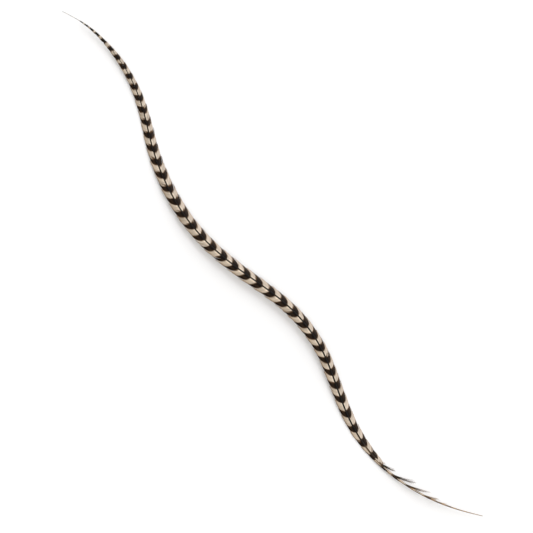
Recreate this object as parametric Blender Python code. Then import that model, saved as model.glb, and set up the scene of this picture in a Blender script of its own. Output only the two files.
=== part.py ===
"""Rooster feather.

A slender barred saddle hackle that lies on a flat surface. It grew as one piece, so it is
one solid: a tapering shaft, a vane on each side of it that is cut into overlapping locks of
barbs, one lock for each dark bar, and near the quill end a few bundles of barbs that are
stroked back along the bare shaft.

X runs from the quill end to the tip, Z is up, and the surface is at z = 0. A place on the
feather is its distance from the tip along the shaft. Driving dimensions are in millimetres,
and the mesh is in metres.
"""

import math

import bmesh
import bpy
import numpy as np

MM = 0.001

# The shaft seen from above: place, then x from the quill end and y
SHAFT_LINE = (
    (0, 240.2, -0.1),
    (8, 232.8, -3.0),
    (21, 220.1, -4.9),
    (34, 207.2, -3.9),
    (48, 193.9, 0.4),
    (61, 182.2, 6.1),
    (76, 168.0, 11.1),
    (92, 152.2, 13.6),
    (106, 138.3, 13.0),
    (121, 123.6, 10.0),
    (133, 112.0, 7.0),
    (145, 100.1, 5.2),
    (160, 85.1, 6.4),
    (175, 70.8, 11.0),
    (190, 56.4, 15.6),
    (201, 45.4, 17.0),
    (221, 25.7, 14.2),
    (241, 7.8, 5.6),
    (250, 0.5, 0.4),
)
# The point of that line that lies above the origin, the middle of the feather's box
MIDDLE_X = 120.33
MIDDLE_Y = 6.21

# Place of each bar, by the number of the bar from the tip
BAR_PLACES = (
    (0, 7.9),
    (3, 15.3),
    (5, 22.5),
    (9, 38.9),
    (14, 62.5),
    (19, 89.2),
    (26, 126.5),
    (32, 159.4),
    (35, 174.3),
    (39, 197.4),
    (43, 220.1),
    (47, 237.2),
)

# Shaft: place, then radius and height of its centre above the surface. The feather touches
# the surface at two places and arches between them, with both of its ends clear.
SHAFT_SIZES = (
    (0, 0.06, 2.05),
    (25, 0.11, 1.40),
    (52, 0.16, 0.57),
    (84, 0.21, 1.80),
    (125, 0.26, 3.20),
    (165, 0.30, 2.00),
    (202, 0.34, 0.365),
    (226, 0.31, 1.45),
    (250, 0.10, 2.15),
)

# Vanes: place, then how far the edge of the left and of the right vane stands out
VANE_SIZES = (
    (7.5, 0.0, 0.0),
    (11, 0.12, 0.12),
    (18, 0.46, 0.44),
    (25, 0.86, 0.80),
    (37, 1.42, 1.20),
    (46, 1.67, 1.52),
    (56, 1.87, 1.86),
    (76, 2.20, 2.10),
    (97, 2.40, 1.98),
    (130, 2.42, 1.72),
    (150, 2.30, 1.68),
    (175, 1.98, 1.78),
    (185, 1.76, 1.78),
    (194, 1.34, 1.64),
    (200, 0.90, 1.42),
    (206, 0.50, 1.00),
    (212, 0.20, 0.50),
    (219, 0.0, 0.0),
)

# How far a barb runs towards the tip
REACH_LEAST = 0.7
REACH_PER_WIDTH_LEFT = 1.35
REACH_PER_WIDTH_RIGHT = 1.9
SHORT_BARB = 0.8
ROOT_THICKNESS = 0.30
EDGE_THICKNESS = 0.14
EDGE_DROOP = 0.34
CREST = 0.1

# How a barb bends: powers of the step along it for its way out, towards the tip and down
OUT_BEND = 1.7
AHEAD_BEND = 1.6
DOWN_BEND = 1.2

# Locks of barbs: one for each bar, its root behind the bar, its far end trimmed and sunk
FIRST_LOCK = 0
LAST_LOCK = 42
LOCK_LAG = 0.45
LOCK_STATIONS = (0.0, 0.2, 0.55, 0.9)
LOCK_TRIM = 0.12
LOCK_LIFT = 0.12

# Barbs stroked back, on the side away from +Y: root place, length, far end's distance out
# and width at the root
TUFTS = (
    (205.8, 8.0, 1.6, 0.8),
    (211.8, 10.4, 2.4, 0.9),
    (218.2, 11.4, 1.8, 0.8),
    (225.4, 8.2, 0.9, 0.5),
    (232.2, 6.4, 0.5, 0.3),
)
TUFT_THICKNESS = 0.16
TUFT_SINK = 0.35
TUFT_STEPS = (0.0, 0.12, 0.3, 0.5, 0.75, 1.0)
# How a bundle bends out, opens at its root, narrows and thins along its length
TUFT_BEND = 1.1
TUFT_ROOT = 0.35
TUFT_OPENING = 5.0
TUFT_TAPER = 0.93
TUFT_TAPER_BEND = 0.8
TUFT_THINNING = 0.6

# Across one ring of the vane: how far out each point lies, from the shaft to the edge
TOP_STEPS = (0.0, 0.3, 0.55, 0.8, 1.0)
UNDER_STEPS = (1.0, 0.75, 0.35)
BARE_PLACES_TIP = (0.0, 3.0, 6.0)
BARE_PLACES_QUILL = (224.0, 228.5, 233.0, 237.5, 242.0, 246.0, 250.0)


def smooth_curve(places, values):
    """A natural cubic spline through the values, as a function of place."""
    at = np.array(places, float)
    values = np.array(values, float)
    gap = np.diff(at)
    slope = np.diff(values) / gap
    system = np.eye(len(at))
    right = np.zeros(len(at))
    for i in range(1, len(at) - 1):
        system[i, i - 1 : i + 2] = gap[i - 1], 2 * (gap[i - 1] + gap[i]), gap[i]
        right[i] = 6 * (slope[i] - slope[i - 1])
    bend = np.linalg.solve(system, right)

    def value(place):
        i = int(np.clip(np.searchsorted(at, place) - 1, 0, len(gap) - 1))
        far = (place - at[i]) / gap[i]
        near = 1 - far
        curve = (near**3 - near) * bend[i] + (far**3 - far) * bend[i + 1]
        return near * values[i] + far * values[i + 1] + curve * gap[i] ** 2 / 6

    return value


def column(table, index):
    """One column of a table against its first, as a smooth curve."""
    return smooth_curve([row[0] for row in table], [row[index] for row in table])


shaft_x = column(SHAFT_LINE, 1)
shaft_y = column(SHAFT_LINE, 2)
shaft_radius = column(SHAFT_SIZES, 1)
shaft_height = column(SHAFT_SIZES, 2)
bar_place = column(BAR_PLACES, 1)


def half_width(place, side):
    """How far the edge of a vane stands out from the shaft."""
    places, left, right = zip(*VANE_SIZES)
    return float(np.interp(place, places, left if side > 0 else right))


def edge_height(place, side):
    """Height of the vane's edge, which hangs lower the wider the vane is."""
    return max(shaft_height(place) - EDGE_DROOP * half_width(place, side), 0)


def spot(place, out, height):
    """The point beside the shaft at a place, out to the left of it, in metres."""
    near = 0.05
    ahead = np.array(
        [
            shaft_x(place - near) - shaft_x(place + near),
            shaft_y(place - near) - shaft_y(place + near),
        ]
    )
    ahead /= np.linalg.norm(ahead)
    x = shaft_x(place) - MIDDLE_X - out * ahead[1]
    y = shaft_y(place) - MIDDLE_Y + out * ahead[0]
    return x * MM, y * MM, height * MM


def barb_spot(root, step, side, along_lock, under):
    """A point of the vane: step runs from 0 at the shaft to 1 at the barb's end."""
    reach_per_width = REACH_PER_WIDTH_LEFT if side > 0 else REACH_PER_WIDTH_RIGHT
    reach = REACH_LEAST + reach_per_width * half_width(root, side)
    width = half_width(root - reach, side) * (1 - LOCK_TRIM * along_lock)
    reach *= min(1, width / SHORT_BARB)
    out = shaft_radius(root) + width * (1 - (1 - step) ** OUT_BEND)
    place = root - reach * step**AHEAD_BEND
    low = edge_height(place, side)
    fall = math.cos(math.pi / 2 * step**DOWN_BEND)
    height = low + (shaft_height(place) - low) * fall
    if under:
        below = min(ROOT_THICKNESS / 2 * (1 - step), height)
        return spot(place, side * out, height - below)
    thickness = EDGE_THICKNESS + LOCK_LIFT * (1 - along_lock) * step
    return spot(place, side * out, height + thickness)


def vane_ring(root, along_lock):
    """A closed ring through both vanes and round the shaft, bent towards the tip."""
    radius = shaft_radius(root)
    height = shaft_height(root)
    top = max(radius, EDGE_THICKNESS + CREST * radius)
    left = [barb_spot(root, step, 1, along_lock, False) for step in reversed(TOP_STEPS)]
    crest = [spot(root, 0, height + top)]
    right = [barb_spot(root, step, -1, along_lock, False) for step in TOP_STEPS]
    right_under = [barb_spot(root, step, -1, along_lock, True) for step in UNDER_STEPS]
    keel = [spot(root, 0, height - radius)]
    left_under = [barb_spot(root, step, 1, along_lock, True) for step in reversed(UNDER_STEPS)]
    return left + crest + right + right_under + keel + left_under


def bare_ring(place):
    """A round ring of the bare shaft, with as many points as a ring of the vane."""
    radius = shaft_radius(place)
    above = 2 * len(TOP_STEPS)
    below = 2 * len(UNDER_STEPS) + 2
    turns = [math.pi * (1 - i / above) for i in range(above + 1)]
    turns += [-math.pi * i / below for i in range(1, below)]
    height = shaft_height(place)
    return [
        spot(place, radius * -math.cos(turn), height + radius * math.sin(turn))
        for turn in turns
    ]


def skin(mesh, rings):
    """Closes a row of rings of points into one surface."""
    loops = [[mesh.verts.new(point) for point in ring] for ring in rings]
    for one, other in zip(loops, loops[1:]):
        for i in range(len(one)):
            j = (i + 1) % len(one)
            mesh.faces.new((one[i], one[j], other[j], other[i]))
    mesh.faces.new(reversed(loops[0]))
    mesh.faces.new(loops[-1])


def feather_rings():
    """Every ring of the feather from its tip to its quill end."""
    rings = [bare_ring(place) for place in BARE_PLACES_TIP]
    for lock in range(FIRST_LOCK, LAST_LOCK):
        for along_lock in LOCK_STATIONS:
            root = bar_place(lock + along_lock + LOCK_LAG)
            rings.append(vane_ring(root, along_lock))
    rings += [bare_ring(place) for place in BARE_PLACES_QUILL]
    return rings


def tuft_rings(root, length, spread, root_width):
    """A flat bundle of barbs that leaves the shaft towards the quill end."""
    rings = []
    for step in TUFT_STEPS:
        place = root + length * step
        inner = -spread * step**TUFT_BEND
        opening = min(1, TUFT_ROOT + TUFT_OPENING * step)
        width = root_width * opening * (1 - TUFT_TAPER * step**TUFT_TAPER_BEND)
        height = shaft_height(place) - TUFT_SINK * step
        thick = TUFT_THICKNESS * (1 - TUFT_THINNING * step)
        rings.append(
            [
                spot(place, inner - width, height),
                spot(place, inner - width / 2, height + thick),
                spot(place, inner, height),
                spot(place, inner - width / 2, height - thick),
            ]
        )
    return rings


def object_from(name, groups):
    """A mesh object of one closed surface for each group of rings, facing out."""
    mesh = bmesh.new()
    for rings in groups:
        skin(mesh, rings)
    bmesh.ops.recalc_face_normals(mesh, faces=mesh.faces)
    data = bpy.data.meshes.new(name)
    mesh.to_mesh(data)
    mesh.free()
    obj = bpy.data.objects.new(name, data)
    bpy.context.scene.collection.objects.link(obj)
    return obj


def keratin():
    """The feather's own matt horn, here in the mean colour of its pale and dark bars."""
    material = bpy.data.materials.new("barred keratin")
    material.use_nodes = True
    shader = material.node_tree.nodes["Principled BSDF"]
    shader.inputs["Base Color"].default_value = (0.21, 0.16, 0.12, 1)
    shader.inputs["Roughness"].default_value = 0.55
    shader.inputs["Metallic"].default_value = 0.0
    return material


def clear_scene():
    for obj in list(bpy.data.objects):
        bpy.data.objects.remove(obj)


def build_feather():
    feather = object_from("feather", [feather_rings()])
    tufts = object_from("tufts", [tuft_rings(*tuft) for tuft in TUFTS])
    tufts.hide_render = True
    tufts.display_type = "WIRE"
    union = feather.modifiers.new("stroked back barbs", "BOOLEAN")
    union.operation = "UNION"
    union.solver = "MANIFOLD"
    union.object = tufts
    feather.data.materials.append(keratin())
    return feather


clear_scene()
build_feather()
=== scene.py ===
"""A rooster feather, a slender barred saddle hackle, lying on a white table.

The feather is modelled straight, the way a hackle is when it is drawn between two fingers,
and then laid along the line of its shaft. A place on it is its distance from the tip along
the shaft, out is the distance from the middle of the shaft, and both are in millimetres.
"""

import math

import bmesh
import bpy
import numpy as np
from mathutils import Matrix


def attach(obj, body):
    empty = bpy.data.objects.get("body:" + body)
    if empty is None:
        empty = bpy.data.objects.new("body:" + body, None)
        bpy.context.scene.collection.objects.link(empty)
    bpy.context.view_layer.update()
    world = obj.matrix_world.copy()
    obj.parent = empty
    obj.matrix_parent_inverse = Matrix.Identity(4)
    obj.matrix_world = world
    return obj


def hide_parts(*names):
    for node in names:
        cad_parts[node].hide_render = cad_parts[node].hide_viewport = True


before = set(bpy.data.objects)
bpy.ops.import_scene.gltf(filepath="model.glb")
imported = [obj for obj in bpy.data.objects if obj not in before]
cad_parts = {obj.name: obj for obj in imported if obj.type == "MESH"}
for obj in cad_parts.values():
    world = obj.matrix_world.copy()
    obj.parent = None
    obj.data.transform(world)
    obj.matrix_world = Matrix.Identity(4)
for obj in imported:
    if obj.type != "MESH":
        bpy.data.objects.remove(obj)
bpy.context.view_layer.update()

# Shaft
# The shaft of a saddle hackle is one thin horn rod, thickest near the quill end and drawn out
# to a hair at the tip, with a shallow groove along its underside. It is nearly black where the
# vanes grow from it, and tan with a dark patch at each bar where it is bare.
MM = 0.001
# The shaft seen from above: place, then x from the quill end and y
SHAFT_LINE = (
    (0, 240.2, -0.1),
    (8, 232.8, -3.0),
    (21, 220.1, -4.9),
    (34, 207.2, -3.9),
    (48, 193.9, 0.4),
    (61, 182.2, 6.1),
    (76, 168.0, 11.1),
    (92, 152.2, 13.6),
    (106, 138.3, 13.0),
    (121, 123.6, 10.0),
    (133, 112.0, 7.0),
    (145, 100.1, 5.2),
    (160, 85.1, 6.4),
    (175, 70.8, 11.0),
    (190, 56.4, 15.6),
    (201, 45.4, 17.0),
    (221, 25.7, 14.2),
    (241, 7.8, 5.6),
    (250, 0.5, 0.4),
)
# The middle of the feather seen from above, which lies at the origin
MIDDLE_X = 120.33
MIDDLE_Y = 6.21
# Place, then radius of the shaft and height of its middle above the table. The feather
# touches the table at two places and arches between them.
SHAFT_SIZES = (
    (0, 0.06, 2.05),
    (25, 0.11, 1.40),
    (52, 0.16, 0.57),
    (84, 0.21, 1.80),
    (125, 0.26, 3.20),
    (165, 0.30, 2.00),
    (202, 0.34, 0.365),
    (226, 0.31, 1.45),
    (250, 0.10, 2.15),
)
SHAFT_LENGTH = 250.0
# Number of a bar from the tip, then its place
BAR_PLACES = (
    (0, 7.9),
    (3, 15.3),
    (5, 22.5),
    (9, 38.9),
    (14, 62.5),
    (19, 89.2),
    (26, 126.5),
    (32, 159.4),
    (35, 174.3),
    (39, 197.4),
    (43, 220.1),
    (47, 237.2),
)


def smooth_curve(pairs):
    """A natural cubic spline through pairs of numbers, as a function of the first."""
    at, values = np.array(pairs, float).T
    gap = np.diff(at)
    slope = np.diff(values) / gap
    system = np.eye(len(at))
    right = np.zeros(len(at))
    for i in range(1, len(at) - 1):
        system[i, i - 1 : i + 2] = gap[i - 1], 2 * (gap[i - 1] + gap[i]), gap[i]
        right[i] = 6 * (slope[i] - slope[i - 1])
    bend = np.linalg.solve(system, right)

    def value(place):
        i = np.clip(np.searchsorted(at, place) - 1, 0, len(gap) - 1)
        far = (place - at[i]) / gap[i]
        near = 1 - far
        curve = (near**3 - near) * bend[i] + (far**3 - far) * bend[i + 1]
        return near * values[i] + far * values[i + 1] + curve * gap[i] ** 2 / 6

    return value


shaft_x = smooth_curve([(place, x) for place, x, y in SHAFT_LINE])
shaft_y = smooth_curve([(place, y) for place, x, y in SHAFT_LINE])
shaft_radius = smooth_curve([(place, radius) for place, radius, height in SHAFT_SIZES])
shaft_height = smooth_curve([(place, height) for place, radius, height in SHAFT_SIZES])
bar_place = smooth_curve(BAR_PLACES)
bar_number = smooth_curve([(place, number) for number, place in BAR_PLACES])


def laid(place, out, height):
    """Points of the straight feather where they lie in the end, in metres."""
    step = 0.05
    ahead_x = shaft_x(place - step) - shaft_x(place + step)
    ahead_y = shaft_y(place - step) - shaft_y(place + step)
    run = np.hypot(ahead_x, ahead_y)
    x = shaft_x(place) - MIDDLE_X - out * ahead_y / run
    y = shaft_y(place) - MIDDLE_Y + out * ahead_x / run
    return np.stack([x, y, height], axis=-1) * MM


def cut_lengthwise(rod, longest, cuts):
    """Cuts every edge of a rod that runs further than longest along X."""
    bpy.ops.object.mode_set(mode="EDIT")
    bpy.ops.mesh.select_mode(type="EDGE")
    bpy.ops.mesh.select_all(action="DESELECT")
    mesh = bmesh.from_edit_mesh(rod.data)
    for edge in mesh.edges:
        ends = sorted(vert.co.x for vert in edge.verts)
        edge.select_set(ends[1] - ends[0] > longest)
    bmesh.update_edit_mesh(rod.data)
    bpy.ops.mesh.subdivide(number_cuts=cuts)
    bpy.ops.object.mode_set(mode="OBJECT")


def straight_rod(name, sides, length, stretches):
    """A rod of radius 1 along X from 0 to length, cut into equal stretches."""
    bpy.ops.object.select_all(action="DESELECT")
    bpy.ops.mesh.primitive_cylinder_add(
        vertices=sides,
        radius=1,
        depth=length,
        location=(length / 2, 0, 0),
        rotation=(0, math.pi / 2, 0),
    )
    rod = bpy.context.object
    rod.name = rod.data.name = name
    bpy.ops.object.transform_apply(location=True, rotation=True, scale=True)
    cut_lengthwise(rod, length / 2, stretches - 1)
    return rod


def points_of(obj):
    """Every point of a mesh, one to a row."""
    flat = np.empty(len(obj.data.vertices) * 3)
    obj.data.vertices.foreach_get("co", flat)
    return flat.reshape(-1, 3)


def move_points(obj, points):
    """Puts every point of a mesh at its new place."""
    obj.data.vertices.foreach_set("co", np.ascontiguousarray(points, np.float32).ravel())
    obj.data.update()


def turn_faces_out(obj):
    """Makes every face point out of its own closed shell."""
    bpy.ops.object.select_all(action="DESELECT")
    bpy.context.view_layer.objects.active = obj
    obj.select_set(True)
    bpy.ops.object.mode_set(mode="EDIT")
    bpy.ops.mesh.select_all(action="SELECT")
    bpy.ops.mesh.normals_make_consistent(inside=False)
    bpy.ops.object.mode_set(mode="OBJECT")


def mark(obj, name, values):
    """Stores one number for each point, for the material to read."""
    layer = obj.data.attributes.new(name, "FLOAT", "POINT")
    layer.data.foreach_set("value", np.ascontiguousarray(values, np.float32).ravel())


def linear(colour):
    """An sRGB hex colour as the linear values that a shader takes."""
    parts = [int(colour[i : i + 2], 16) / 255 for i in (1, 3, 5)]
    return [p / 12.92 if p <= 0.04045 else ((p + 0.055) / 1.055) ** 2.4 for p in parts] + [1]


def add_node(material, kind, inputs, **settings):
    """Adds a shader node. An input takes a value, or the socket that feeds it."""
    node = material.node_tree.nodes.new("ShaderNode" + kind)
    for name, value in settings.items():
        setattr(node, name, value)
    for socket, value in inputs.items():
        if isinstance(value, bpy.types.NodeSocket):
            material.node_tree.links.new(value, node.inputs[socket])
        else:
            node.inputs[socket].default_value = value
    return node.outputs


def new_material(name):
    """A material and its shader."""
    material = bpy.data.materials.new(name)
    material.use_nodes = True
    return material, material.node_tree.nodes["Principled BSDF"]


# How bare the shaft is: place, then 0 where the vanes hide it and 1 where it shows its tan
SHAFT_BARE = ((16, 0.8), (26, 0.15), (192, 0.0), (204, 0.5), (212, 1.0))
# How strong its patches are
SHAFT_PATCHES = ((230, 1.0), (238, 0.6), (243, 0.2))
SHAFT_SIDES = 14
SHAFT_STRETCHES = 100
CUTS_PER_STRETCH = 3
shaft = straight_rod("shaft", SHAFT_SIDES, SHAFT_LENGTH, SHAFT_STRETCHES)
cut_lengthwise(shaft, SHAFT_LENGTH / SHAFT_STRETCHES / 2, CUTS_PER_STRETCH)

# Depth and half width of the groove, as shares of the radius
GROOVE_DEPTH = 0.45
GROOVE_HALF = 0.45
place, across, up = points_of(shaft).T
groove = GROOVE_DEPTH * np.clip(1 - (across / GROOVE_HALF) ** 2, 0, 1) * (up < 0)
radius = shaft_radius(place)
points = laid(place, across * radius, shaft_height(place) + (up + groove) * radius)
move_points(shaft, points)
turn_faces_out(shaft)
mark(shaft, "bar_number", bar_number(place))
mark(shaft, "bare", np.interp(place, *zip(*SHAFT_BARE)))
mark(shaft, "patches", np.interp(place, *zip(*SHAFT_PATCHES)))
bpy.ops.object.shade_smooth_by_angle(angle=math.radians(50))

# Smooth horn with a low gloss, near-black between the vanes. Where it is bare it is a finely
# mottled tan that darkens to brown at each bar, by how far in bars the bar's middle is.
MOTTLES_PER_MM = 1.8
MOTTLE_SHIFT = 0.3
BAR_PHASE = 0.35
PATCH_EDGES = (0.42, 0.16)
horn, horn_shader = new_material("barred shaft horn")
number = add_node(horn, "Attribute", {}, attribute_name="bar_number")["Fac"]
bare = add_node(horn, "Attribute", {}, attribute_name="bare")["Fac"]
patches = add_node(horn, "Attribute", {}, attribute_name="patches")["Fac"]
spot = add_node(horn, "TexCoord", {})["Object"]
mottles = {"Vector": spot, "Scale": MOTTLES_PER_MM / MM, "Detail": 3.0}
mottle = add_node(horn, "TexNoise", mottles)["Fac"]
phase = {0: mottle, 1: MOTTLE_SHIFT, 2: number}
phase = add_node(horn, "Math", phase, operation="MULTIPLY_ADD")[0]
phase = add_node(horn, "Math", {0: phase, 1: BAR_PHASE}, operation="ADD")[0]
phase = add_node(horn, "Math", {0: phase}, operation="FRACT")[0]
away = add_node(horn, "Math", {0: phase, 1: 0.5}, operation="SUBTRACT")[0]
away = add_node(horn, "Math", {0: away}, operation="ABSOLUTE")[0]
in_bar = add_node(
    horn,
    "MapRange",
    {"Value": away, "From Min": PATCH_EDGES[0], "From Max": PATCH_EDGES[1]},
    interpolation_type="SMOOTHSTEP",
)["Result"]
in_bar = add_node(horn, "Math", {0: in_bar, 1: patches}, operation="MULTIPLY")[0]
tan = add_node(
    horn, "Mix", {0: mottle, 6: linear("#71563c"), 7: linear("#ab8d6a")}, data_type="RGBA"
)[2]
patch = add_node(
    horn, "Mix", {0: mottle, 6: linear("#1d140d"), 7: linear("#503a28")}, data_type="RGBA"
)[2]
barred = add_node(horn, "Mix", {0: in_bar, 6: tan, 7: patch}, data_type="RGBA")[2]
colour = add_node(horn, "Mix", {0: bare, 6: linear("#080503"), 7: barred}, data_type="RGBA")[2]
horn.node_tree.links.new(colour, horn_shader.inputs["Base Color"])
horn_shader.inputs["Roughness"].default_value = 0.42
horn_shader.inputs["IOR"].default_value = 1.54
horn_shader.inputs["Specular IOR Level"].default_value = 0.12
shaft.data.materials.append(horn)
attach(shaft, "root")
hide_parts("feather")

# Vanes
# A vane is a row of horn barbs, each a thin flat blade that grows from the side of the shaft
# and bends towards the tip. Their fringes hook together near the shaft, each over the next
# one towards the tip, and come loose in small clumps at the edge.

# Edge of the left and of the right vane: place, then how far they stand out from the shaft
VANE_SIZES = (
    (7.5, 0.10, 0.10),
    (11, 0.24, 0.24),
    (18, 0.48, 0.46),
    (25, 0.86, 0.80),
    (37, 1.42, 1.20),
    (46, 1.67, 1.52),
    (56, 1.87, 1.86),
    (76, 2.20, 2.10),
    (97, 2.40, 1.98),
    (130, 2.42, 1.72),
    (150, 2.30, 1.68),
    (175, 1.98, 1.78),
    (185, 1.76, 1.78),
    (194, 1.34, 1.64),
    (200, 0.90, 1.42),
    (206, 0.50, 1.00),
    (212, 0.20, 0.50),
    (219, 0.0, 0.0),
)
# First and last root of a barb
VANE_START = 7.6
LAST_LEFT_BARB = 217.0
LAST_RIGHT_BARB = 208.6
# How far a barb runs towards the tip: at least this, and this much more for each mm of width.
# One that stands out less than a short barb runs less far.
REACH_LEAST = 0.7
REACH_PER_WIDTH = {1: 1.35, -1: 1.9}
SHORT_BARB = 0.8
# Thickness of the vane, and how far its edge hangs for each mm of width
EDGE_THICKNESS = 0.14
EDGE_DROOP = 0.34
# How a barb bends: powers of the step along it for its way out, towards the tip and down
OUT_BEND = 1.7
AHEAD_BEND = 1.6
DOWN_BEND = 1.2
# Locks of barbs, one for each bar: where each begins, in bars, and by what share it narrows
LOCK_LAG = 0.45
LOCK_TRIM = 0.12
# How far out on the shaft a barb begins, at two places and as shares of the shaft's radius,
# and the gap that it keeps, in mm
ROOT_PLACES = (12, 30)
ROOT_SHARES = (0.1, 0.85)
ROOT_GAP = 0.02
# One barb, a flat blade: how far it is from the next, the stretches it is made of, half its
# width at both ends, how that tapers, its slope, and half its thickness
BARB_SPACING = 0.25
BARB_STRETCHES = 10
BLADE_AT_ROOT = 0.17
BLADE_AT_END = 0.03
BLADE_TAPER = 2.2
BLADE_TILT = 0.25
RIDGE = 0.022
# Clumps: the chance that a barb begins a new one, and how far its barbs' ends come together
CLUMP_CHANCE = 0.24
CLUMP_PULL = 0.45
CLUMP_BEND = 1.5
# How much clumps and single barbs differ: in root, reach, width, height and tone, in the front
# edge of their bar, and in both its edges
ROOT_VARIES = 0.2
REACH_VARIES = (0.05, 0.03)
WIDTH_VARIES = (0.02, 0.02)
LIFT_VARIES = 0.02
TONE_VARIES = (0.7, 0.7)
FRONT_VARIES = (0.2, 0.25)
EDGE_VARIES = 0.06
# A bar on the left and on the right vane: place, the share of the bar's pitch that is dark
# ahead of its middle and behind it, how far the front edge slants forward and the back edge
# is held back for each mm out, and how far both sweep forward at the vane's edge, in mm
BAR_EDGES = {
    1: (
        (10, 0.33, 0.29, 0.1, 1.1, 0.2, 0.0),
        (25, 0.26, 0.21, 0.2, 0.8, 0.3, 0.0),
        (42, 0.25, 0.22, 0.3, 0.5, 0.6, 0.0),
        (60, 0.27, 0.22, 0.4, 0.2, 0.7, 0.0),
        (88, 0.29, 0.215, 0.4, 0.1, 0.7, 0.0),
        (118, 0.07, 0.375, 0.72, 0.07, 0.5, 0.0),
        (140, 0.07, 0.375, 0.72, 0.05, 0.5, 0.0),
        (165, 0.16, 0.285, 0.72, -0.08, 0.6, 0.1),
        (200, 0.13, 0.30, 0.55, -0.05, 0.7, 0.1),
    ),
    -1: (
        (10, 0.31, 0.31, 0.1, 1.1, 0.2, 0.0),
        (25, 0.20, 0.27, 0.2, 0.9, 0.3, 0.0),
        (42, 0.13, 0.34, 0.3, 0.7, 0.6, 0.0),
        (60, 0.14, 0.35, 0.4, 0.5, 0.7, 0.0),
        (88, 0.17, 0.34, 0.35, 0.38, 0.8, 0.1),
        (128, 0.19, 0.31, 0.65, 0.2, 1.3, 0.7),
        (165, 0.18, 0.335, 0.4, 0.35, 1.2, 0.6),
        (200, 0.16, 0.335, 0.35, 0.3, 0.9, 0.4),
    ),
}
# As shares of the pitch: how much further ahead a bar begins at the barbs' roots, and how much
# further back the row of barbs lies that can carry it
ROOT_AHEAD = 0.07
BAR_LAG = 0.12
# Bars closer together than this, in mm, have crisper edges, up to twice as crisp
CRISP_PITCH = 5
# Share of the way out from which a bar's edges sweep forward, and how they bend there. The
# way out ends a little past the edge of the vane.
SWEEP_FROM = 0.6
SWEEP_BEND = 1.5
EDGE_MARGIN = 0.3
# Share of its depth that a bar's front edge keeps, which makes it browner than the back edge
FRONT_DEPTH = 0.55
# How much lighter or darker the barbs are along the feather
TONE_ALONG = ((20, -1.6), (60, -1.0), (90, -0.8), (125, 0.2), (165, -0.3), (195, 0.0))
# How far out the barbs are as dark as the shaft: place, then mm from the line's middle, which
# lies a little to the right of the shaft's
LINE_HALF = ((12, -0.05), (20, 0.06), (30, 0.16), (42, 0.22), (55, 0.26), (70, 0.28))
LINE_SHIFT = ((55, -0.05), (80, -0.02), (125, -0.02), (165, -0.06))


def half_width(place, side):
    """How far the edge of a vane stands out from the shaft."""
    places, left, right = zip(*VANE_SIZES)
    return np.interp(place, places, left if side > 0 else right)


def straight_barbs(name, count):
    """Copies of one flat barb, each of length 1 along X and 2 from the last one."""
    barbs = straight_rod(name, 4, 1, BARB_STRETCHES)
    copies = barbs.modifiers.new("one for each barb", "ARRAY")
    copies.count = count
    copies.use_relative_offset = False
    copies.use_constant_offset = True
    copies.constant_offset_displace = (2, 0, 0)
    bpy.ops.object.modifier_apply(modifier=copies.name)
    return barbs


def bend_barbs(barbs, side, route, blade):
    """Bends each barb along its route and shapes its blade.

    Returns for every point its barb, its step along it, its place and how far out it is.
    """
    near = 0.01
    x, across, up = points_of(barbs).T
    barb = np.round((x - 0.5) / 2).astype(int)
    step = np.clip(x - 2 * barb, 0, 1)
    place, out, height = route(barb, step)
    ahead_place, ahead_out, _ = route(barb, np.minimum(step + near, 1))
    back_place, back_out, _ = route(barb, np.maximum(step - near, 0))
    run = np.hypot(ahead_place - back_place, ahead_out - back_out)
    along_place = (ahead_place - back_place) / run
    along_out = (ahead_out - back_out) / run
    half_blade = blade(barb, step)
    place = place - across * half_blade * along_out
    out = out + across * half_blade * along_place
    height = height + across * half_blade * BLADE_TILT + up * RIDGE
    move_points(barbs, laid(place, side * out, height))
    turn_faces_out(barbs)
    bpy.ops.object.shade_smooth_by_angle(angle=math.radians(40))
    return barb, step, place, out


def dress(piece):
    """Gives a group of barbs its horn and its place in the feather."""
    piece.data.materials.append(barb_horn)
    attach(piece, "root")
    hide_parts("feather")


def varied(sizes, clump_draw, barb_draw):
    """How far a barb differs: with its clump, and by itself."""
    return sizes[0] * clump_draw + sizes[1] * barb_draw


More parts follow.
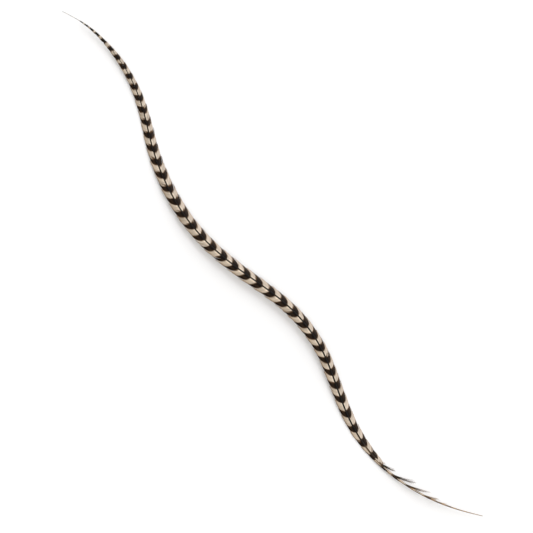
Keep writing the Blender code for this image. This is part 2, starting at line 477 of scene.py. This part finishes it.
def grow_vane(name, side, first, last, seed):
    """One vane, on the left where side is 1, with a bar colour depth for every point."""
    draw = np.random.default_rng(seed)
    root = np.arange(first, last, BARB_SPACING)
    count = len(root)
    root = root + draw.uniform(-ROOT_VARIES, ROOT_VARIES, count) * BARB_SPACING
    clump = np.cumsum(draw.random(count) < CLUMP_CHANCE)
    middle = (np.bincount(clump, root) / np.maximum(np.bincount(clump), 1))[clump]
    clump_draw = draw.normal(size=clump[-1] + 1)[clump]
    reach_share = 1 + varied(REACH_VARIES, clump_draw, draw.normal(size=count))
    width_share = 1 + varied(WIDTH_VARIES, clump_draw, draw.normal(size=count))
    lift = LIFT_VARIES * draw.normal(size=count)
    tone = varied(TONE_VARIES, clump_draw, draw.normal(size=count))
    tone += np.interp(root, *zip(*TONE_ALONG))
    front_shift = varied(FRONT_VARIES, clump_draw, draw.normal(size=count))
    edge_shift = EDGE_VARIES * draw.normal(size=count)
    reach = (REACH_LEAST + REACH_PER_WIDTH[side] * half_width(root, side)) * reach_share
    along_lock = (bar_number(root) - LOCK_LAG) % 1
    width = half_width(root - reach, side) * (1 - LOCK_TRIM * along_lock) * width_share
    reach = reach * np.minimum(1, width / SHORT_BARB)

    def route(barb, step):
        start = root[barb] + (middle - root)[barb] * CLUMP_PULL * step**CLUMP_BEND
        place = start - reach[barb] * step**AHEAD_BEND
        radius = shaft_radius(root[barb])
        start_out = radius * np.interp(root[barb], ROOT_PLACES, ROOT_SHARES)
        out = start_out + (radius - start_out) * step
        out = out + ROOT_GAP + width[barb] * (1 - (1 - step) ** OUT_BEND)
        low = np.maximum(shaft_height(place) - EDGE_DROOP * half_width(place, side), 0)
        fall = np.cos(np.pi / 2 * step**DOWN_BEND)
        height = low + (shaft_height(place) - low) * fall + EDGE_THICKNESS * (1 - 0.5 * step)
        return place, out, height + lift[barb] * step

    def blade(barb, step):
        return BLADE_AT_END + (BLADE_AT_ROOT - BLADE_AT_END) * (1 - step**BLADE_TAPER)

    vane = straight_barbs(name, count)
    barb, step, place, out = bend_barbs(vane, side, route, blade)

    number = bar_number(root)[barb]
    bar = np.round(number - BAR_LAG)
    pitch = bar_place(bar + 0.5) - bar_place(bar - 0.5)
    places, *edges = zip(*BAR_EDGES[side])
    ahead, behind, slope, hold, front_sweep, back_sweep = (
        np.interp(bar_place(bar), places, values) for values in edges
    )
    out_share = out / (half_width(place, side) + EDGE_MARGIN)
    sweep = np.clip((out_share - SWEEP_FROM) / (1 - SWEEP_FROM), 0, 1) ** SWEEP_BEND
    from_front = (number - bar + ahead + ROOT_AHEAD) * pitch + front_sweep * sweep
    from_back = (behind - number + bar) * pitch + hold * out - back_sweep * sweep
    lead = bar_place(bar) - ahead * pitch - slope * out - front_sweep * sweep
    from_lead = place - lead + front_shift[barb] * np.clip(step * 3, 0, 1)
    from_front = np.minimum(from_front + edge_shift[barb], from_lead)
    from_front *= np.where(from_front > 0, FRONT_DEPTH + (1 - FRONT_DEPTH) * sweep, 1)
    crisp = np.clip(CRISP_PITCH / pitch, 1, 2)
    mark(vane, "dark_depth", crisp * np.minimum(from_front, from_back + edge_shift[barb]))
    line_half = np.interp(place, *zip(*LINE_HALF)) + side * np.interp(place, *zip(*LINE_SHIFT))
    mark(vane, "line_depth", line_half - out)
    mark(vane, "across", side * out_share)
    mark(vane, "tone", tone[barb])
    dress(vane)


# Horn drawn out into fine matt blades, barred by the pigment that each barb grew with: warm
# near-black and pale cream with a brown fringe between them, the pale turning tan towards the
# edges. The colours across the vanes also hold painted light: a painted highlight of light cream
# beside the shaft, painted shade that darkens the pale at the left vane's edge, and a painted
# sheen that greys the near-black towards the right vane's edge.
# Each table runs from the right vane's edge, at -1, to the left vane's, at 1.
# Pale cream, with a painted highlight beside the shaft and painted shade at the left vane's edge
PALE_AND_PAINTED_LIGHT_ACROSS = (
    (-1.0, "#ab9b8b"),
    (-0.8, "#bcae9f"),
    (-0.35, "#bfb1a1"),
    (-0.2, "#e2d4c0"),
    (0.18, "#e4d5c0"),
    (0.32, "#c8b9a6"),
    (0.7, "#c5b5a0"),
    (0.85, "#b8a48d"),
    (1.0, "#927b64"),
)
# Warm near-black, with a painted sheen that greys it towards the right vane's edge
DARK_AND_PAINTED_SHEEN_ACROSS = (
    (-1.0, "#3a312a"),
    (-0.6, "#2b221b"),
    (-0.3, "#1c130d"),
    (0.0, "#0d0603"),
    (0.25, "#180f08"),
    (0.42, "#2a1e13"),
    (0.6, "#281b10"),
    (0.75, "#170c05"),
    (1.0, "#0e0703"),
)
# How the mottling and a barb's own tone lighten it, and where brown and black begin and are
# full, in mm into a bar
BARB_MOTTLES_PER_MM = 3.5
MOTTLE_SHADE = 0.2
TONE_SHADE = 0.1
LEAST_SHADE = 0.9
RAGGED = 0.3
BROWN_EDGES = (-0.35, 0.05)
BLACK_EDGES = (-0.05, 0.3)
LINE_BLUR = 0.05


def colours_across(material, share, stops):
    """A band of colours from the right vane's edge, at -1, to the left vane's, at 1."""
    band = add_node(material, "ValToRGB", {"Fac": share})["Color"]
    elements = band.node.color_ramp.elements
    elements[0].position, elements[1].position = 0, 1
    for at, colour in stops[1:-1]:
        elements.new((at + 1) / 2).color = linear(colour)
    elements[0].color = linear(stops[0][1])
    elements[len(stops) - 1].color = linear(stops[-1][1])
    return band


barb_horn, barb_shader = new_material("barred barb horn")
depth = add_node(barb_horn, "Attribute", {}, attribute_name="dark_depth")["Fac"]
across = add_node(barb_horn, "Attribute", {}, attribute_name="across")["Fac"]
tone = add_node(barb_horn, "Attribute", {}, attribute_name="tone")["Fac"]
line_depth = add_node(barb_horn, "Attribute", {}, attribute_name="line_depth")["Fac"]
spot = add_node(barb_horn, "TexCoord", {})["Object"]
mottles = {"Vector": spot, "Scale": BARB_MOTTLES_PER_MM / MM, "Detail": 2.0}
mottle = add_node(barb_horn, "TexNoise", mottles)["Fac"]
share = add_node(barb_horn, "Math", {0: across, 1: 0.5, 2: 0.5}, operation="MULTIPLY_ADD")[0]
shade = {0: tone, 1: TONE_SHADE, 2: LEAST_SHADE}
shade = add_node(barb_horn, "Math", shade, operation="MULTIPLY_ADD")[0]
shade = {0: mottle, 1: MOTTLE_SHADE, 2: shade}
shade = add_node(barb_horn, "Math", shade, operation="MULTIPLY_ADD")[0]
# The pale carries the painted highlight and painted shade of its table
pale_and_painted_light = colours_across(barb_horn, share, PALE_AND_PAINTED_LIGHT_ACROSS)
pale_and_painted_light = add_node(barb_horn, "VectorMath", {0: pale_and_painted_light, "Scale": shade}, operation="SCALE")["Vector"]
# The near-black carries the painted sheen of its table
dark = colours_across(barb_horn, share, DARK_AND_PAINTED_SHEEN_ACROSS)
dark = add_node(barb_horn, "VectorMath", {0: dark, "Scale": shade}, operation="SCALE")["Vector"]
ragged = {0: mottle, 1: RAGGED, 2: -RAGGED / 2}
ragged = add_node(barb_horn, "Math", ragged, operation="MULTIPLY_ADD")[0]
ragged = add_node(barb_horn, "Math", {0: ragged, 1: depth}, operation="ADD")[0]
brown = add_node(
    barb_horn,
    "MapRange",
    {"Value": ragged, "From Min": BROWN_EDGES[0], "From Max": BROWN_EDGES[1]},
    interpolation_type="SMOOTHSTEP",
)["Result"]
black = add_node(
    barb_horn,
    "MapRange",
    {"Value": ragged, "From Min": BLACK_EDGES[0], "From Max": BLACK_EDGES[1]},
    interpolation_type="SMOOTHSTEP",
)["Result"]
colour = add_node(barb_horn, "Mix", {0: brown, 6: pale_and_painted_light, 7: linear("#5f4630")}, data_type="RGBA")[2]
colour = add_node(barb_horn, "Mix", {0: black, 6: colour, 7: dark}, data_type="RGBA")[2]
line = add_node(
    barb_horn,
    "MapRange",
    {"Value": line_depth, "From Min": -LINE_BLUR, "From Max": LINE_BLUR},
    interpolation_type="SMOOTHSTEP",
)["Result"]
colour = add_node(barb_horn, "Mix", {0: line, 6: colour, 7: linear("#0d0805")}, data_type="RGBA")[2]
barb_horn.node_tree.links.new(colour, barb_shader.inputs["Base Color"])
barb_shader.inputs["Roughness"].default_value = 0.5
barb_shader.inputs["IOR"].default_value = 1.54
barb_shader.inputs["Specular IOR Level"].default_value = 0.07

grow_vane("vane_left", 1, VANE_START, LAST_LEFT_BARB, 11)
grow_vane("vane_right", -1, VANE_START, LAST_RIGHT_BARB, 12)

# Barbs stroked back
# Between the vane and the bare quill end, the barbs of one side have been stroked back and
# lie along the shaft the wrong way. Those of one bar stick together in a pointed bundle.

# Bundles: first and last root, where their ends come together, how far out that is, and how
# dark the barbs are at their roots, from -0.5 for cream to 0.35 for black
BUNDLES = (
    (204.8, 206.8, 208.9, 1.25, -0.45),
    (206.9, 209.3, 213.4, 1.75, 0.35),
    (209.3, 212.6, 218.4, 0.8, -0.5),
    (212.9, 215.6, 222.3, 2.55, 0.35),
    (215.8, 219.0, 225.6, 0.6, -0.5),
    (219.3, 221.6, 228.8, 1.95, 0.2),
    (222.6, 226.6, 232.0, 0.45, -0.5),
    (226.6, 228.2, 233.4, 1.1, 0.0),
    (231.4, 233.2, 236.8, 0.5, -0.1),
)
# Cream bundles, which are up to this dark, lie up on the shaft. The others lie at its side and
# pale outwards.
CREAM = -0.4
CREAM_START = 0.1
DARK_START = 0.5
DARK_PALES = 0.32
# Where in the colours across a vane their roots are, and their points, so that their roots take
# the painted highlight beside the shaft and their dark points the painted sheen. They have no
# dark line.
ACROSS_ROOT = -0.2
ACROSS_POINT = -0.7
NO_LINE = -1.0
# How far apart their roots are, and how far their ends sink
BUNDLE_SPACING = 0.2
BUNDLE_SINK = 0.3
# How much the barbs of a bundle differ: end, way out, shortest run and bend
END_VARIES = 0.35
OUT_VARIES = 0.1
RUN_VARIES = 0.3
RUN_BEND = 1.4
BUNDLE_BEND = (1.2, 0.12)
# Half the width of a blade at its root and at its point, and how it tapers
BUNDLE_BLADE = 0.065
BUNDLE_POINT = 0.01
BUNDLE_TAPER = 0.5
# How far above the round of the shaft they lie, and the least square of its rise that counts
BUNDLE_GAP = 0.02
LEAST_ROUND = 0.003


def stroke_back(name, bundles, seed):
    """All the bundles as one mesh, on the right side of the shaft."""
    draw = np.random.default_rng(seed)
    rows = [
        (root, end, out, dark)
        for first, last, end, out, dark in bundles
        for root in np.arange(first, last, BUNDLE_SPACING)
    ]
    root, end, far_out, dark = np.array(rows, float).T
    count = len(root)
    end = end + END_VARIES * draw.normal(size=count)
    far_out = far_out * (1 + OUT_VARIES * draw.normal(size=count))
    run = 1 - RUN_VARIES * draw.random(count) ** RUN_BEND
    tone = draw.normal(size=count)
    bend = BUNDLE_BEND[0] + BUNDLE_BEND[1] * draw.normal(size=count)
    start_out = np.where(dark > CREAM, DARK_START, CREAM_START) * shaft_radius(root)

    def route(barb, step):
        step = step * run[barb]
        place = root[barb] + (end - root)[barb] * step
        out = start_out[barb] + (far_out - start_out)[barb] * step ** bend[barb]
        over = np.sqrt(np.clip(shaft_radius(place) ** 2 - out**2, LEAST_ROUND, None))
        return place, out, shaft_height(place) + over + BUNDLE_GAP - BUNDLE_SINK * step

    def blade(barb, step):
        return BUNDLE_BLADE * (1 - step) ** BUNDLE_TAPER + BUNDLE_POINT

    barbs = straight_barbs(name, count)
    barb, step, place, out = bend_barbs(barbs, -1, route, blade)
    mark(barbs, "dark_depth", dark[barb] - DARK_PALES * step * (dark > CREAM)[barb])
    mark(barbs, "across", ACROSS_ROOT + (ACROSS_POINT - ACROSS_ROOT) * step)
    mark(barbs, "line_depth", np.full(len(barb), NO_LINE))
    mark(barbs, "tone", tone[barb])
    dress(barbs)


stroke_back("quill_barbs", BUNDLES, 13)

# Floor, light and camera
# A white sheet of paper in a white room, under one big soft lamp that stands low beyond the
# right vane and a weaker one overhead. The camera looks straight down. The picture's pixels,
# from its top left corner, say where the two ends of the shaft lie in it.
SHAFT_PIXELS = 684
PIXEL_MM = SHAFT_LENGTH / SHAFT_PIXELS
FRAME_PIXELS = 533
QUILL_PIXEL = (484.0, 516.0)
TIP_PIXEL = (62.1, 11.6)
LENS_MM = 85.0
SENSOR_MM = 36.0

along = np.array([TIP_PIXEL[0] - QUILL_PIXEL[0], QUILL_PIXEL[1] - TIP_PIXEL[1]])
along /= np.linalg.norm(along)
leftward = np.array([-along[1], along[0]])
from_quill = np.array([FRAME_PIXELS / 2 - QUILL_PIXEL[0], QUILL_PIXEL[1] - FRAME_PIXELS / 2])
aim_x = (from_quill @ along) * PIXEL_MM - MIDDLE_X
aim_y = (from_quill @ leftward) * PIXEL_MM - MIDDLE_Y
picture_right = math.atan2(leftward[0], along[0])

bpy.ops.object.select_all(action="DESELECT")
bpy.ops.mesh.primitive_plane_add(size=4)
floor = bpy.context.object
floor.name = "floor"
paper, paper_shader = new_material("white paper")
paper_shader.inputs["Base Color"].default_value = linear("#f4f4f4")
paper_shader.inputs["Roughness"].default_value = 0.9
paper_shader.inputs["Specular IOR Level"].default_value = 0.0
floor.data.materials.append(paper)

world = bpy.data.worlds.new("white room")
bpy.context.scene.world = world
world.use_nodes = True
WARM_WHITE = (1, 0.97, 0.94)
COOL_WHITE = (0.98, 1, 1.03)
world.node_tree.nodes["Background"].inputs["Color"].default_value = (*WARM_WHITE, 1)
world.node_tree.nodes["Background"].inputs["Strength"].default_value = 0.45


def add_lamp(name, energy, colour, width, elevation, turn):
    """A far lamp. Width is its size as seen from the feather, in degrees like the others."""
    lamp = bpy.data.lights.new(name, "SUN")
    lamp.energy = energy
    lamp.color = colour
    lamp.angle = math.radians(width)
    lamp_object = bpy.data.objects.new(name, lamp)
    lamp_object.rotation_euler = (math.radians(90 - elevation), 0, math.radians(turn))
    bpy.context.scene.collection.objects.link(lamp_object)


add_lamp("soft lamp", 3.75, COOL_WHITE, width=80, elevation=24, turn=5)
add_lamp("light from above", 0.7, WARM_WHITE, width=40, elevation=90, turn=0)

camera = bpy.data.cameras.new("camera")
camera.lens = LENS_MM
camera.sensor_width = SENSOR_MM
camera.clip_start = 0.01
camera_object = bpy.data.objects.new("camera", camera)
bpy.context.scene.collection.objects.link(camera_object)
# Height above the table at which the picture has its scale
SCALE_HEIGHT = 1.5
distance = FRAME_PIXELS * PIXEL_MM * LENS_MM / SENSOR_MM + SCALE_HEIGHT
camera_object.location = (aim_x * MM, aim_y * MM, distance * MM)
camera_object.rotation_euler = (0, 0, picture_right)
bpy.context.scene.camera = camera_object
bpy.context.scene.view_settings.view_transform = "Standard"
